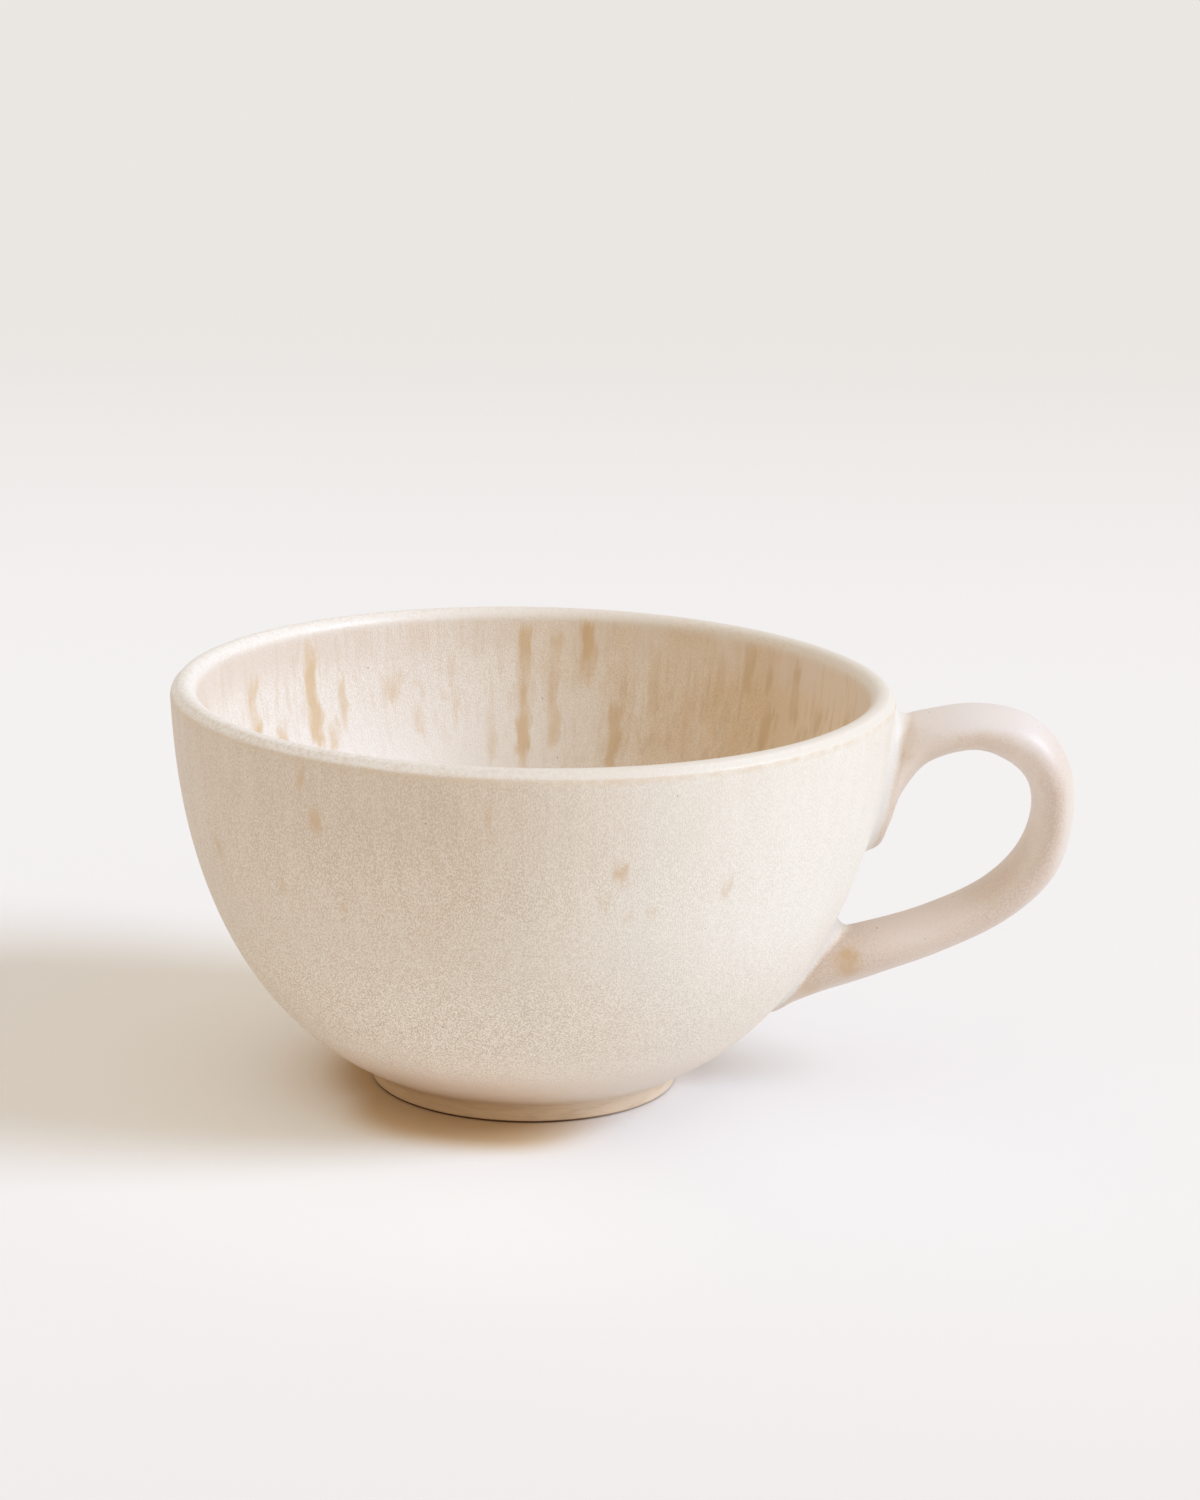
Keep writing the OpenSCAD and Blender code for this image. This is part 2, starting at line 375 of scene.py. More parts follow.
pinker = ramp(cream_glaze, height, 0.019, 0.010, 0, 0.6)
ground = blend(cream_glaze, pinker, ground, blend(cream_glaze, creamier_towards_lamp, low_pink, low_cream))
cream_glaze.links.new(blend(cream_glaze, crystals, ground, flake), put["Color"])
cream_glaze.links.new(crystals, put["Grain"])

# One ochre run or spot, at a direction round the cup and between two heights. Sway makes it wander,
# and the fringe breaks its edge and its ends into fine threads.
ochre_run, given, put = effect(
    "ochre_run",
    [(value, "Float") for value in (
        "X", "Y", "Z", "Cosine", "Sine", "Top", "Bottom", "Width", "Strength", "Sway", "Fringe", "Fray")],
    [("Mask", "Float")])
aside = times(ochre_run, given["Y"], given["Cosine"])
aside = measure(ochre_run, "SUBTRACT", aside, times(ochre_run, given["X"], given["Sine"]))
ahead = times(ochre_run, given["X"], given["Cosine"])
ahead = measure(ochre_run, "MULTIPLY_ADD", given["Y"], given["Sine"], ahead)
sway = measure(ochre_run, "SUBTRACT", given["Sway"], 0.5)
fringe = times(ochre_run, measure(ochre_run, "SUBTRACT", given["Fringe"], 0.5), given["Fray"])
shift = times(ochre_run, times(ochre_run, sway, 2.2), given["Width"])
swell = measure(ochre_run, "MULTIPLY_ADD", given["Sway"], 1.5, 0.45)
breadth = times(ochre_run, given["Width"], swell)
off = measure(ochre_run, "ABSOLUTE", measure(ochre_run, "ADD", aside, shift))
off = measure(ochre_run, "DIVIDE", off, breadth)
band = ramp(ochre_run, measure(ochre_run, "MULTIPLY_ADD", fringe, 1.9, off), 1.2, 0.45)
ragged = measure(ochre_run, "MULTIPLY_ADD", fringe, 0.010, given["Z"])
under = ramp(ochre_run, measure(ochre_run, "SUBTRACT", given["Top"], ragged), -0.0012, 0.0022)
over = ramp(ochre_run, measure(ochre_run, "SUBTRACT", ragged, given["Bottom"]), -0.0012, 0.0022)
mask = times(ochre_run, band, times(ochre_run, under, over))
mask = times(ochre_run, mask, measure(ochre_run, "GREATER_THAN", ahead, 0.0))
ochre_run.links.new(times(ochre_run, mask, given["Strength"]), put["Mask"])


def runs(tree, place, sway, fringe, fray, marks):
    """All the ochre marks of a surface: degrees round the cup, top, bottom and half width in mm, strength."""
    total = None
    x, y, z = shader_node(tree, "SeparateXYZ", {"Vector": place}).outputs
    for degrees, top, bottom, width, strength in marks:
        a = math.radians(degrees)
        made = shader_node(tree, "Group", {
            "X": x, "Y": y, "Z": z, "Cosine": math.cos(a), "Sine": math.sin(a),
            "Top": top / 1000, "Bottom": bottom / 1000, "Width": width / 1000, "Strength": strength,
            "Sway": sway, "Fringe": fringe, "Fray": fray,
        }, node_tree=ochre_run).outputs["Mask"]
        total = made if total is None else measure(tree, "MAXIMUM", total, made)
    return total


inside_runs = [
    (134.8, 60, 43, 1.3, 0.85), (131, 47, 42, 1.1, 0.6), (151.5, 57, 46, 1.4, 0.9),
    (143.6, 48.5, 43, 1.2, 0.8), (127.9, 53.5, 46.5, 0.7, 0.6), (116.9, 53.5, 48, 1.9, 0.5),
    (112, 48, 44, 0.9, 0.4), (104, 50, 45, 0.8, 0.35), (97.5, 47, 39, 0.9, 0.4),
    (91.2, 60.6, 37, 1.05, 0.85), (85.5, 60, 40, 0.9, 0.55), (79.5, 62.3, 50.5, 1.15, 1.0),
    (73.5, 47.5, 37, 0.9, 0.75), (66, 57, 46, 0.9, 0.4), (58, 52, 43, 1.0, 0.4),
    (52, 59, 50, 0.9, 0.45), (45.7, 62, 52.5, 1.1, 0.7), (40.2, 60.5, 54, 0.9, 0.6),
    (33, 61, 50.5, 1.0, 0.7), (39.7, 51, 44, 1.1, 0.8), (25.5, 54.5, 49, 1.1, 0.7),
    (14, 57, 51, 0.9, 0.5), (-12, 60, 46, 1.2, 0.7), (-48, 58, 40, 1.3, 0.7), (-80, 61, 47, 1.0, 0.8),
    (-112, 57, 36, 1.3, 0.6), (-138, 60, 50, 1.1, 0.7), (-163, 59, 42, 1.2, 0.7),
    (172, 57, 47, 1.0, 0.5),
]
outside_spots = [
    (-124.2, 54.6, 51, 1.1, 0.9), (-75.8, 49.6, 46, 1.1, 0.75), (-57, 44.4, 42.2, 0.9, 0.65),
    (-78, 44.4, 42, 0.9, 0.35), (-126.7, 61.4, 57.6, 0.8, 0.75), (-150, 45, 41, 0.9, 0.6),
    (-132.8, 42.5, 40, 0.8, 0.55), (-120.4, 41.7, 39, 0.8, 0.4), (-74, 41.5, 39.5, 0.8, 0.35),
    (-70, 42, 39.8, 0.8, 0.35), (-96, 58, 54, 0.5, 0.35), (40, 52, 47, 1.1, 0.5),
    (78, 47, 44, 1.0, 0.45), (105, 55, 49, 1.1, 0.5), (140, 45, 42, 1.0, 0.4), (172, 53, 49, 1.0, 0.5),
]

bowl_glaze, tree, shader, place = fired_material("bowl_glaze")
section = shader_node(tree, "Attribute", attribute_name="section").outputs["Fac"]
height = height_of(tree, place)
round_cup = heading(tree, flattened(tree, place))
cloud = noise(tree, place, 60, 4)
threads = noise(tree, place, 900, 3, (1, 1, 0.10))
drapes = noise(tree, place, 150, 3, (1, 1, 0.16))
sway = noise(tree, place, 60, 1, (1, 1, 2.6))

# Outside, with its few soft spots and a browner glaze on the foot. Part of that brown is painted shade: it
# deepens towards the floor and on the side away from the lamp, and the lamp's side is painted a lighter tan.
spot_ochre, foot_streak = (0.66, 0.48, 0.30, 1), (0.43, 0.28, 0.15, 1)
shaded_foot_brown, lit_foot_tan = (0.65, 0.46, 0.265, 1), (0.83, 0.675, 0.51, 1)
cream = shader_node(tree, "Group", {"Vector": place}, node_tree=cream_glaze)
spots = runs(tree, place, 0.5, threads, 0.6, outside_spots)
outside_colour = blend(tree, spots, cream.outputs["Color"], spot_ochre)
on_foot = ramp(tree, height, 0.0062, 0.0018, 0, 0.9)
sunny = pointing(tree, round_cup, (1, 0, 0))
# Painted light and shade: brown on the side away from the lamp, tan on the side it lights.
foot_glaze_and_shade = blend(tree, ramp(tree, sunny, -0.6, 0.7), shaded_foot_brown, lit_foot_tan)
turned_lines = ramp(tree, noise(tree, place, 420, 4, (0.6, 0.6, 4)), 0.46, 0.68, 0, 0.3)
foot_glaze_and_shade = blend(tree, turned_lines, foot_glaze_and_shade, foot_streak)
outside_colour = blend(tree, on_foot, outside_colour, foot_glaze_and_shade)

# Inside: lilac-white crystals that hang in drapes on a ground that turns tan towards the handle. The white
# side is the one the lamp lights and the tan side lies in the rim's shade, so the split is partly painted
# light and shade, and the extra white low on the lit side is painted light.
deep_tan, pale_tan, drape_white = (0.70, 0.512, 0.297, 1), (0.835, 0.685, 0.515, 1), (0.85, 0.79, 0.71, 1)
tan_sugar, white_sugar = (0.80, 0.665, 0.505, 1), (0.96, 0.94, 0.905, 1)
tan_thread, pale_thread = (0.57, 0.405, 0.24, 1), (0.74, 0.59, 0.43, 1)
painted_light_white, under_lip = (0.935, 0.915, 0.885, 1), (0.79, 0.69, 0.59, 1)
deep_ochre, pale_ochre = (0.62, 0.44, 0.245, 1), (0.73, 0.55, 0.335, 1)
away = pointing(tree, round_cup, (-0.87, 0.5, 0))
drift = measure(tree, "MULTIPLY_ADD", drapes, 1.1, measure(tree, "MULTIPLY_ADD", cloud, 0.9, away))
# Painted light: a whiter patch low on the lamp-lit inside wall, away from the handle.
lit_low_inside = times(tree, ramp(tree, height, 0.055, 0.036), ramp(tree, height, 0.016, 0.032))
lit_low_inside = times(tree, lit_low_inside, ramp(tree, away, 0.1, 0.7))
drift = measure(tree, "ADD", drift, lit_low_inside)
paler = ramp(tree, drift, 0.55, 1.75)
tan = blend(tree, ramp(tree, sunny, 0.7, 0.97), deep_tan, pale_tan)
inside_colour = blend(tree, paler, tan, drape_white)
sugar = times(tree, crystals_at(tree, place, 5200, 1.6), ramp(tree, drift, 0.3, 1.7, 0.42, 0.85))
inside_colour = blend(tree, sugar, inside_colour, blend(tree, paler, tan_sugar, white_sugar))
thin = ramp(tree, threads, 0.50, 0.64, 0, 0.32)
inside_colour = blend(tree, thin, inside_colour, blend(tree, paler, tan_thread, pale_thread))
inside_colour = blend(tree, times(tree, lit_low_inside, 0.75), inside_colour, painted_light_white)
below_lip = times(tree, ramp(tree, height, 0.053, 0.059), ramp(tree, drapes, 0.35, 0.6, 0.25, 0.65))
inside_colour = blend(tree, below_lip, inside_colour, under_lip)
broken = ramp(tree, noise(tree, place, 190, 2, (1, 1, 0.7)), 0.36, 0.58, 0.5, 1.0)
run_mask = times(tree, runs(tree, place, sway, threads, 1.0, inside_runs), broken)
inside_colour = blend(tree, run_mask, inside_colour, blend(tree, paler, deep_ochre, pale_ochre))

# Lip: pale on its crown, and under the bevel the glaze thins and breaks to a tan line
lip_white, lip_cream = (0.935, 0.91, 0.87, 1), (0.815, 0.765, 0.695, 1)
break_tan, glaze_speck = (0.74, 0.60, 0.45, 1), (0.20, 0.13, 0.08, 1)
inside = ramp(tree, section, 0.995, 1.012)
colour = blend(tree, inside, outside_colour, inside_colour)
lip = times(tree, ramp(tree, section, 0.974, 0.988), ramp(tree, section, 1.045, 1.008))
lip_colour = blend(tree, ramp(tree, sunny, -0.8, 0.3), lip_white, lip_cream)
worn_lip = times(tree, lip, ramp(tree, noise(tree, place, 1500, 2), 0.35, 0.6, 0.55, 0.95))
colour = blend(tree, worn_lip, colour, lip_colour)
break_line = times(tree, ramp(tree, section, 0.960, 0.976), ramp(tree, section, 0.983, 0.978))
break_line = times(tree, break_line, ramp(tree, noise(tree, place, 420, 4), 0.34, 0.70, 0.15, 0.7))
colour = blend(tree, break_line, colour, break_tan)
specks = times(tree, specks_at(tree, place, 420, 0.8), 0.55)
tree.links.new(blend(tree, specks, colour, glaze_speck), shader.inputs["Base Color"])

satin = measure(tree, "MULTIPLY_ADD", cream.outputs["Grain"], 0.10, 0.46)
tree.links.new(measure(tree, "MULTIPLY_ADD", lip, -0.18, satin), shader.inputs["Roughness"])
relief = blend(tree, inside, cream.outputs["Grain"], sugar, "FLOAT")
relief = measure(tree, "MULTIPLY_ADD", times(tree, lip, 2.5), noise(tree, place, 900, 3), relief)
press(tree, shader, relief, 0.45, 0.00006)
shader.inputs["IOR"].default_value = 1.5

glaze_coat.data.materials.append(bowl_glaze)
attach(glaze_coat, "root")
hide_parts("outer_glaze", "inner_glaze")


# Handle. The strap is pulled by hand from the same clay, bent into an ear and luted to the wall at both
# ends. Its glaze is thinner and smoother than the bowl's: lilac-white on top of the ear, pinkish beige
# elsewhere, semi-gloss.

reach, strap_t, strap_w = 0.028, 0.0068, 0.0128
strap_sides, rings_per_row, strap_crease_angle = 48, 8, 60

# From the upper root to the lower one: how far out from the wall (share of the reach), how high (share of
# the cup's height), thickness and width (shares of the strap's), spread of the root (share of the cup's
# height) and lean in degrees
strap_rows = [
    (-0.14, 0.755, 1.03, 1.03, 0.231, 84), (0.04, 0.763, 1.03, 1.02, 0.220, 84),
    (0.08, 0.788, 1.03, 1.00, 0.159, 86), (0.12, 0.835, 1.03, 0.98, 0.078, 88),
    (0.22, 0.8795, 1.03, 0.98, 0.0125, 98), (0.49, 0.9065, 1.00, 1.00, 0, 90),
    (0.75, 0.878, 1.14, 1.00, 0, 55), (0.93, 0.798, 1.03, 1.00, 0, 22),
    (1.005, 0.690, 0.95, 1.00, 0, -3), (0.9935, 0.568, 1.045, 1.00, 0, -31),
    (0.85, 0.468, 1.015, 1.00, 0, -55), (0.59, 0.391, 1.05, 1.00, 0, -67),
    (0.32, 0.339, 1.06, 1.00, 0.011, -71), (0.13, 0.3065, 1.06, 1.02, 0.032, -95),
    (0.064, 0.2892, 1.06, 1.03, 0.0707, -114), (0.0, 0.269, 1.06, 1.04, 0.133, -127),
    (-0.20, 0.316, 1.06, 1.05, 0.133, -127),
]
last_row = len(strap_rows) - 1


def wall_radius(z):
    """Radius of the glazed wall at a height, before the handle's pull."""
    turn = math.acos(max(0.0, 1 - (z + outline_drop) / (shoulder_z + outline_drop)))
    return (rim_r - lip_flare) * math.sin(turn) ** fullness + lip_flare * (1 - math.cos(turn)) ** flare_power


def strap_ring(place, growth):
    """Centre, half thickness, half width and angle of the strap at a place along its rows."""
    i = min(int(place), last_row - 1)
    f = place - i
    b, c = strap_rows[i], strap_rows[i + 1]
    a = strap_rows[i - 1] if i > 0 else [2 * q - r for q, r in zip(b, c)]
    d = strap_rows[i + 2] if i < last_row - 1 else [2 * r - q for q, r in zip(b, c)]
    row = [
        q + (f * (r - p) + f * f * (2 * p - 5 * q + 4 * r - s) + f ** 3 * (3 * (q - r) + s - p)) / 2
        for p, q, r, s in zip(a, b, c, d)
    ]
    z = row[1] * cup_h
    half_t = (row[2] * strap_t + row[4] * cup_h) / 2 + growth
    half_w = row[3] * strap_w / 2 + growth
    return Vector((wall_radius(z) + row[0] * reach, 0, z)), half_t, half_w, math.radians(row[5])


def pull_strap(name, rings):
    """Pulls a strap from one root to the other, ring by ring."""
    centre, half_t, half_w, lean = rings[0]
    bpy.ops.object.select_all(action="DESELECT")
    bpy.ops.mesh.primitive_circle_add(vertices=strap_sides, radius=1, fill_type="NGON")
    strap = bpy.context.object
    strap.name = name
    bpy.ops.object.mode_set(mode="EDIT")
    bpy.ops.transform.resize(value=(half_t, half_w, 1), center_override=(0, 0, 0))
    bpy.ops.transform.translate(value=centre)
    bpy.ops.transform.rotate(value=lean, orient_axis="Y", center_override=centre)
    for there, thick, wide, turn in rings[1:]:
        bpy.ops.mesh.extrude_region_move(TRANSFORM_OT_translate={"value": there - centre})
        bpy.ops.transform.rotate(value=turn - lean, orient_axis="Y", center_override=there)
        bpy.ops.transform.resize(value=(thick / half_t, wide / half_w, thick / half_t), center_override=there)
        centre, half_t, half_w, lean = there, thick, wide, turn
    bpy.ops.mesh.select_all(action="SELECT")
    bpy.ops.mesh.normals_make_consistent(inside=False)
    bpy.ops.object.mode_set(mode="OBJECT")
    bpy.ops.object.shade_smooth_by_angle(angle=math.radians(strap_crease_angle))
    return strap


def ring_gap(point, ring):
    """How far a point lies from a ring of the strap."""
    there, thick, wide, turn = ring
    off = point - there
    forward = Vector((math.sin(turn), 0, -math.cos(turn)))
    return abs(off.dot(forward)) + max(0.0, off.length - max(thick, wide))


places = [i / rings_per_row for i in range(last_row * rings_per_row + 1)]
handle_clay = pull_strap("pulled_handle", [strap_ring(place, -coat) for place in places])
handle_clay.data.materials.append(clay)
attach(handle_clay, "root")
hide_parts("handle")

rings = [strap_ring(place, 0) for place in places]
handle_coat = pull_strap("handle_coat", rings)

# Where each point lies along the ear, from 0 to 1, and whether it faces out of the ear (1) or into it (-1)
for attribute in ("along", "outward"):
    handle_coat.data.attributes.new(attribute, "FLOAT", "POINT")
along, outward = (handle_coat.data.attributes[name].data for name in ("along", "outward"))
for vertex in handle_coat.data.vertices:
    nearest = min(range(len(rings)), key=lambda i: ring_gap(vertex.co, rings[i]))
    there, thick, _, turn = rings[nearest]
    along[vertex.index].value = nearest / (len(rings) - 1)
    outward[vertex.index].value = (vertex.co - there).dot(Vector((math.cos(turn), 0, math.sin(turn)))) / thick

# The strap's glaze, by the place along the ear and the side that faces out. Some of it is painted light
# and shade, on the lower arm and the outer bend, with a painted reflection along the bend's edge.
strap_pink, strap_pale, strap_flake = (0.695, 0.565, 0.458, 1), (0.775, 0.665, 0.57, 1), (0.86, 0.79, 0.74, 1)
arm_top_painted_light, arm_under_painted_shade = (0.785, 0.68, 0.605, 1), (0.735, 0.605, 0.505, 1)
root_inside, root_outside = (0.66, 0.52, 0.41, 1), (0.75, 0.635, 0.54, 1)
ear_lilac, bend_shade, edge_reflection_colour = (0.805, 0.75, 0.73, 1), (0.655, 0.515, 0.42, 1), (0.735, 0.655, 0.57, 1)
stain_ochre, strap_speck = (0.63, 0.44, 0.26, 1), (0.22, 0.14, 0.09, 1)
stains = [
    ((0.0495, -0.0062, 0.0219), 0.0030, 0.95), ((0.058, -0.0055, 0.0536), 0.0024, 0.55),
    ((0.0434, -0.005, 0.0159), 0.0034, 0.45), ((0.056, 0.0062, 0.047), 0.003, 0.5),
    ((0.078, 0.0058, 0.036), 0.0028, 0.5),
]
strap_glaze, given, put = effect(
    "strap_glaze", [("Vector", "Vector"), ("Along", "Float"), ("Outward", "Float")],
    [("Color", "Color"), ("Grain", "Float")])
place, along_ear, facing_out = given["Vector"], given["Along"], given["Outward"]
mottle = noise(strap_glaze, place, 75, 4)
fine = crystals_at(strap_glaze, place, 4500, 1.0)
ground = blend(strap_glaze, ramp(strap_glaze, mottle, 0.36, 0.64), strap_pink, strap_pale)
facing = measure(strap_glaze, "MULTIPLY_ADD", mottle, 1.3, facing_out)
# Lower arm: the side facing up into the ear is painted lighter and the side facing down darker, as painted
# light and shade.
low_arm = times(
    strap_glaze, ramp(strap_glaze, along_ear, 0.60, 0.70), ramp(strap_glaze, along_ear, 0.80, 0.73))
arm_light_and_shade = blend(strap_glaze, ramp(strap_glaze, facing_out, -0.6, 0.5), arm_top_painted_light, arm_under_painted_shade)
ground = blend(strap_glaze, low_arm, ground, arm_light_and_shade)
root_colour = blend(strap_glaze, ramp(strap_glaze, facing_out, 0.2, 0.9), root_inside, root_outside)
ground = blend(strap_glaze, ramp(strap_glaze, along_ear, 0.70, 0.79), ground, root_colour)
top_of_ear = times(
    strap_glaze, ramp(strap_glaze, along_ear, 0.19, 0.30), ramp(strap_glaze, along_ear, 0.49, 0.37))
lilac = times(strap_glaze, ramp(strap_glaze, facing, 0.35, 1.15), top_of_ear)
colour = blend(strap_glaze, lilac, ground, ear_lilac)
# Painted shade: the outer bend, which faces the lamp, is painted a darker pink.
outer_bend = times(
    strap_glaze, ramp(strap_glaze, along_ear, 0.36, 0.47), ramp(strap_glaze, along_ear, 0.695, 0.60))
painted_bend_shade = times(strap_glaze, ramp(strap_glaze, facing, 0.1, 0.6), outer_bend)
painted_edge_reflection = times(strap_glaze, ramp(strap_glaze, facing, 0.95, 1.5), outer_bend)
colour = blend(strap_glaze, times(strap_glaze, painted_bend_shade, 0.8), colour, bend_shade)
# Painted reflection: a pale rim along the outermost edge of the bend, as the bright backdrop gives at grazing
# angles.
colour = blend(strap_glaze, painted_edge_reflection, colour, edge_reflection_colour)
colour = blend(strap_glaze, times(strap_glaze, fine, 0.34), colour, strap_flake)
dapple = ramp(strap_glaze, noise(strap_glaze, place, 650, 3), 0.40, 0.60, 0.6, 1.0)
for spot, size, strength in stains:
    gap = shader_node(strap_glaze, "VectorMath", {0: place, 1: spot}, operation="DISTANCE").outputs["Value"]
    gap = measure(strap_glaze, "MULTIPLY_ADD", measure(strap_glaze, "SUBTRACT", mottle, 0.5), 0.010, gap)
    stain = times(strap_glaze, ramp(strap_glaze, gap, size, size * 0.15, 0, strength), dapple)
    colour = blend(strap_glaze, stain, colour, stain_ochre)
strap_glaze.links.new(colour, put["Color"])
strap_glaze.links.new(fine, put["Grain"])


def strap_look(tree, place):
    """The strap's glaze on a piece that carries the two attributes of the ear."""
    return shader_node(tree, "Group", {
        "Vector": place,
        "Along": shader_node(tree, "Attribute", attribute_name="along").outputs["Fac"],
        "Outward": shader_node(tree, "Attribute", attribute_name="outward").outputs["Fac"],
    }, node_tree=strap_glaze).outputs


handle_glaze, tree, shader, place = fired_material("handle_glaze")
strap = strap_look(tree, place)
specks = times(tree, specks_at(tree, place, 420, 0.7), 0.7)
tree.links.new(blend(tree, specks, strap["Color"], strap_speck), shader.inputs["Base Color"])
tree.links.new(measure(tree, "MULTIPLY_ADD", strap["Grain"], 0.10, 0.36), shader.inputs["Roughness"])
press(tree, shader, strap["Grain"], 0.2, 0.00004)
shader.inputs["IOR"].default_value = 1.5

handle_coat.data.materials.append(handle_glaze)
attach(handle_coat, "root")
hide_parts("handle_glaze")


# Slip fillets. The potter scores both roots of the handle, wets them with slip and smooths the slip out
# with a finger, so each root runs into the wall in a soft hollow, where the pale glaze pools.

def strap_point(place, turn, growth):
    """A point of the strap's skin, at a place along its rows and an angle round its section."""
    there, thick, wide, lean = strap_ring(place, growth)
    out = thick * math.cos(turn)
    return there + Vector((out * math.cos(lean), wide * math.sin(turn), out * math.sin(lean)))


def off_wall(point):
    """How far a point stands off the glazed wall."""
    return math.hypot(point.x, point.y) - wall_radius(point.z) - handle_pull(*point)


def leaves_wall(root, step, turn, growth):
    """The place along the rows where a line of the strap's skin comes out of the wall."""
    near = root
    while off_wall(strap_point(near + step, turn, growth)) < 0:
        near += step
    far = near + step
    for halving in range(20):
        middle = (near + far) / 2
        near, far = (middle, far) if off_wall(strap_point(middle, turn, growth)) < 0 else (near, middle)
    return near


pool_white = (0.775, 0.745, 0.71, 1)
pooled_glaze, tree, shader, place = fired_material("pooled_glaze")
pool = shader_node(tree, "Attribute", attribute_name="pool").outputs["Fac"]
cream = shader_node(tree, "Group", {"Vector": place}, node_tree=cream_glaze)
strap = strap_look(tree, place)
mottle = noise(tree, place, 260, 3)
edge = measure(tree, "MULTIPLY_ADD", measure(tree, "SUBTRACT", mottle, 0.5), 0.5, pool)
pooled = times(tree, ramp(tree, edge, 0.05, 0.4), ramp(tree, edge, 0.80, 0.45, 0, 0.8))
colour = blend(tree, ramp(tree, edge, 0.5, 0.95), cream.outputs["Color"], strap["Color"])
tree.links.new(blend(tree, pooled, colour, pool_white), shader.inputs["Base Color"])
tree.links.new(measure(tree, "MULTIPLY_ADD", pooled, 0.12, 0.38), shader.inputs["Roughness"])
press(tree, shader, strap["Grain"], 0.25, 0.00005)

fillet_turns, hollow_steps, hidden_steps = 120, 12, 3
section_steps = hollow_steps + 1 + hidden_steps
hollow_pull, strap_inset, slip_depth = 0.42, 0.0005, 0.0006
for name, node, root, step, outer_size, side_size, inner_size, drawn in (
    ("upper_slip", "upper_joint", 0, 0.04, 0.0021, 0.0022, 0.0012, 1.4),
    ("lower_slip", "lower_joint", last_row, -0.04, 0.0006, 0.0023, 0.0052, 1.0),
):
    bpy.ops.object.select_all(action="DESELECT")
    bpy.ops.mesh.primitive_torus_add(
        major_segments=fillet_turns, minor_segments=section_steps, major_radius=0.01, minor_radius=0.001)
    fillet = bpy.context.object
    fillet.name = name
    for attribute in ("pool", "along", "outward"):
        fillet.data.attributes.new(attribute, "FLOAT", "POINT")
    pool, along, outward = (fillet.data.attributes[key].data for key in ("pool", "along", "outward"))
    fine_step = step / 8
    for i in range(fillet_turns):
        turn = 2 * math.pi * i / fillet_turns
        facing = math.cos(turn)
        size = side_size + ((outer_size if facing > 0 else inner_size) - side_size) * facing ** 2
        crease_place = leaves_wall(root, step, turn, 0)
        crease = strap_point(crease_place, turn, 0)
        on_wall = strap_point(leaves_wall(root, step, turn, size), turn, size)
        strap_place = crease_place
        while (strap_point(strap_place, turn, 0) - crease).length < size * drawn:
            strap_place += fine_step
        on_strap = strap_point(strap_place, turn, 0)
        pull = hollow_pull * (on_strap - on_wall).length
        up_wall = on_wall + (crease - on_wall).normalized() * pull
        back_down = strap_point(strap_place - fine_step, turn, 0) - on_strap
        down_strap = on_strap + back_down.normalized() * pull
        inward = Vector((-crease.x, -crease.y, 0)).normalized() * slip_depth
        hollow = []
        for k in range(hollow_steps + 1):
            t = k / hollow_steps
            hollow.append(
                on_wall * (1 - t) ** 3 + up_wall * 3 * t * (1 - t) ** 2
                + down_strap * 3 * t * t * (1 - t) + on_strap * t ** 3)
        hidden = [
            strap_point(strap_place, turn, -strap_inset),
            strap_point(crease_place, turn, -slip_depth) + inward,
            on_wall + inward,
        ]
        for k, point in enumerate(hollow + hidden):
            index = i * section_steps + k
            fillet.data.vertices[index].co = point
            pool[index].value = min(1.0, k / hollow_steps)
            along[index].value = strap_place / last_row
            outward[index].value = math.cos(turn)
    bpy.ops.object.mode_set(mode="EDIT")
    bpy.ops.mesh.select_all(action="SELECT")
    bpy.ops.mesh.normals_make_consistent(inside=False)
    bpy.ops.object.mode_set(mode="OBJECT")
    bpy.ops.object.shade_smooth_by_angle(angle=math.radians(strap_crease_angle))
    fillet.data.materials.append(pooled_glaze)
    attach(fillet, "root")
    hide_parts(node)


# Studio. A pale seamless floor, one soft lamp low on the handle's side and a warm even fill, seen by a
# long lens from a little above the rim. Light and shade are painted on the paper: it darkens far back and at
# the near edge as painted falloff, it is lighter and warmer where the cup's shade falls as painted light and
# a painted warm glow, and it is brown close to the foot as painted contact shade.

bpy.ops.object.select_all(action="DESELECT")
bpy.ops.mesh.primitive_plane_add(size=8, location=(0, 0, 0))
floor = bpy.context.object
floor.name = "studio_floor"
paper_white, painted_far_falloff = (0.918, 0.925, 0.945, 1), (0.836, 0.835, 0.822, 1)
painted_near_falloff, painted_shadow_lift = (0.887, 0.882, 0.89, 1), (0.985, 0.993, 1.0, 1)
painted_warm_glow, painted_contact_shade = (0.94, 0.82, 0.62, 1), (0.70, 0.535, 0.34, 1)
paper = bpy.data.materials.new("studio_paper")
paper.use_nodes = True
tree = paper.node_tree
tree.nodes.clear()
paper_place = shader_node(tree, "TexCoord").outputs["Object"]
depth = shader_node(tree, "SeparateXYZ", {"Vector": paper_place}).outputs["Y"]
# Painted falloff: the paper darkens far back and at the near edge.
sheet = blend(tree, ramp(tree, depth, 0.2, 0.8), paper_white, painted_far_falloff)
sheet = blend(tree, ramp(tree, depth, -0.06, -0.2), sheet, painted_near_falloff)
reach_out = length_of(tree, paper_place)
round_foot = heading(tree, paper_place)
shaded = pointing(tree, round_foot, (-0.9, -0.35, 0))
front = pointing(tree, round_foot, (-0.34, -0.94, 0))
shade = ramp(tree, shaded, -0.2, 0.5)
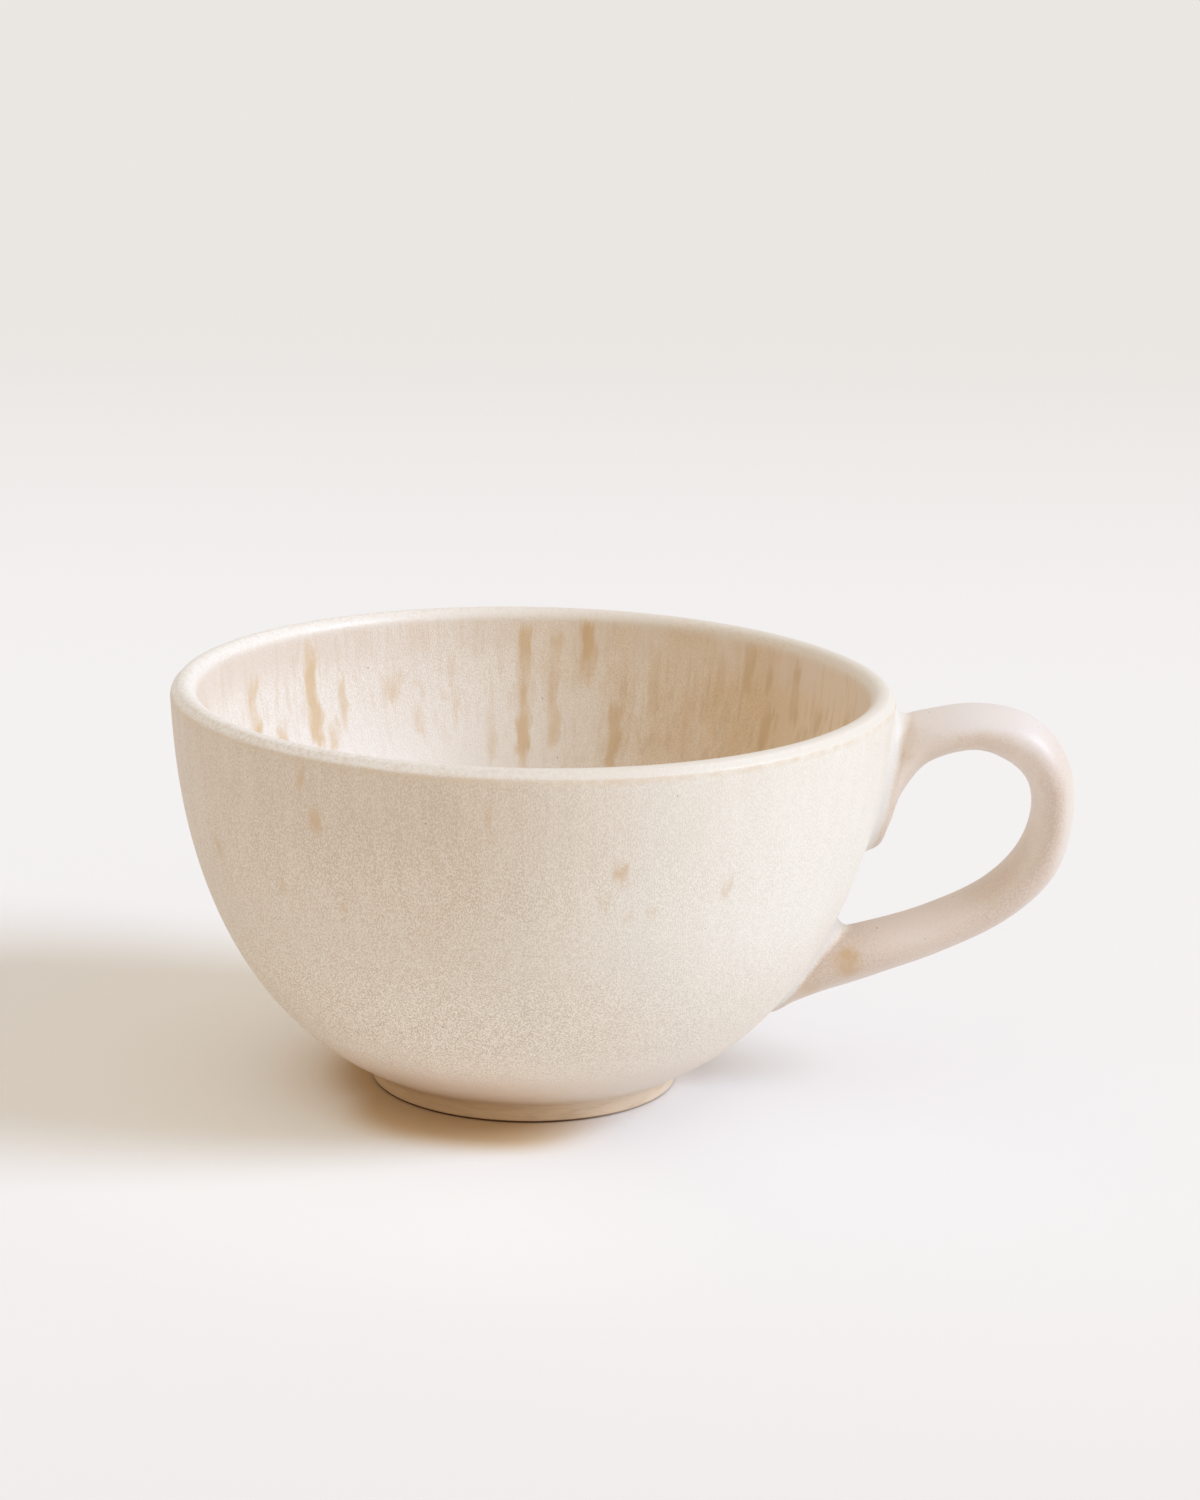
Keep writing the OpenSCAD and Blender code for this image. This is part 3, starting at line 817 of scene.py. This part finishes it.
# Painted light lifts the cup's shadow, and a painted warm glow tints it close to the cup.
sheet = blend(tree, times(tree, shade, ramp(tree, reach_out, 0.12, 0.055, 0, 0.9)), sheet, painted_shadow_lift)
sheet = blend(tree, times(tree, shade, ramp(tree, reach_out, 0.044, 0.030, 0, 0.32)), sheet, painted_warm_glow)
wider = ramp(tree, front, 0.70, 0.98, 0, 0.0062)
near_foot = ramp(tree, measure(tree, "SUBTRACT", reach_out, wider), 0.037, 0.0245)
contact_shade_mask = times(tree, times(tree, near_foot, near_foot), ramp(tree, shaded, -0.3, 0.5))
# Painted contact shade: brown close to the foot, mostly on the shaded side.
sheet = blend(tree, contact_shade_mask, sheet, painted_contact_shade)
surface = shader_node(tree, "BsdfDiffuse", {"Color": sheet})
shader_node(tree, "OutputMaterial", {"Surface": surface.outputs[0]})
floor.data.materials.append(paper)

lamp_height, lamp_turn, lamp_spread = 34, -11, 24
bpy.ops.object.light_add(type="SUN")
key = bpy.context.object
key.name = "key_lamp"
key.rotation_euler = (0, math.radians(90 - lamp_height), math.radians(lamp_turn))
key.data.angle = math.radians(lamp_spread)
key.data.energy = 2.1
key.data.color = (0.69, 0.80, 1.0)

world = bpy.data.worlds.new("studio_fill")
bpy.context.scene.world = world
world.use_nodes = True
tree = world.node_tree
tree.nodes.clear()
fill = shader_node(tree, "Background", {"Color": (0.73, 0.655, 0.56, 1), "Strength": 1.0})
wall = shader_node(tree, "Background", {"Color": (0.80, 0.77, 0.75, 1), "Strength": 1.0})
seen = shader_node(tree, "LightPath").outputs
shown = measure(tree, "MAXIMUM", seen["Is Glossy Ray"], seen["Is Transmission Ray"])
shown = measure(tree, "MAXIMUM", seen["Is Camera Ray"], shown)
sky = shader_node(tree, "MixShader", {"Fac": shown, 1: fill.outputs[0], 2: wall.outputs[0]})
shader_node(tree, "OutputWorld", {"Surface": sky.outputs[0]})

lens = bpy.data.cameras.new("studio_camera")
lens.lens = 100
lens.sensor_width = 36
camera = bpy.data.objects.new("studio_camera", lens)
camera.location = (0, -0.62159, 0.21149)
camera.rotation_euler = [math.radians(a) for a in (75.6517, -1.1775, -0.6999)]
bpy.context.scene.collection.objects.link(camera)
bpy.context.scene.camera = camera
bpy.context.scene.view_settings.view_transform = "Standard"
